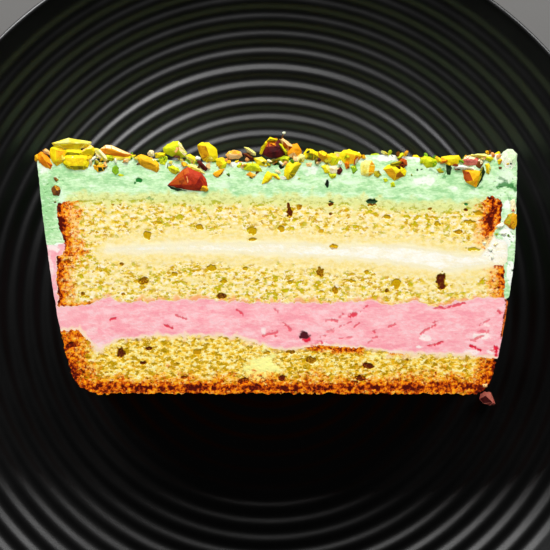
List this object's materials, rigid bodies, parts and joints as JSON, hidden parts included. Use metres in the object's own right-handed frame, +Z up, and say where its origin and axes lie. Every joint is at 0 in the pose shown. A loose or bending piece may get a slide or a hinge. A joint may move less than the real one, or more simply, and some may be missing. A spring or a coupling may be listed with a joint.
{
  "type": "cassata slice",
  "caption": "Slice of layered ice cream cassata with sponge sheets and chopped pistachios, lying on its cut side on a dark ribbed plate.",
  "frame": {"origin": "under the middle of the plate, on the table that it stands on", "axes": "+X along the loaf's width, +Y up the loaf's height towards the nuts, +Z up through the slice's thickness, out of its upper cut face"},
  "size_m": [0.2048, 0.2048, 0.0317],
  "materials": {
    "plate_glaze": "matte black glaze with a soft sheen on its ribs",
    "green_ice_cream": "frozen, slightly melted cream with frost and small pits",
    "sponge_cake": "porous yellow crumb with a browned crust at the loaf's sides and base",
    "vanilla_ice_cream": "smooth soft cream",
    "strawberry_ice_cream": "frozen cream with knife drags, ice and bits of fruit",
    "pistachio": "chopped kernels, yellow green inside with red brown skin"
  },
  "bodies": {
    "root": {"plate": "plate_glaze", "pistachio_ice_cream": "green_ice_cream", "sponge_top": "sponge_cake", "vanilla_ice_cream": "vanilla_ice_cream", "sponge_middle": "sponge_cake", "strawberry_ice_cream": "strawberry_ice_cream", "sponge_base": "sponge_cake", "kernel_01": "pistachio", "kernel_02": "pistachio", "kernel_03": "pistachio", "kernel_04": "pistachio", "kernel_05": "pistachio", "kernel_06": "pistachio", "kernel_07": "pistachio", "kernel_08": "pistachio", "kernel_09": "pistachio", "kernel_10": "pistachio", "kernel_11": "pistachio", "kernel_12": "pistachio", "kernel_13": "pistachio", "kernel_14": "pistachio", "kernel_15": "pistachio", "kernel_16": "pistachio", "kernel_17": "pistachio", "kernel_18": "pistachio", "kernel_19": "pistachio", "kernel_20": "pistachio", "kernel_21": "pistachio", "kernel_22": "pistachio", "kernel_23": "pistachio", "kernel_24": "pistachio", "kernel_25": "pistachio", "kernel_26": "pistachio", "kernel_27": "pistachio", "kernel_28": "pistachio", "kernel_29": "pistachio", "kernel_30": "pistachio", "kernel_31": "pistachio"}
  },
  "joints": []
}
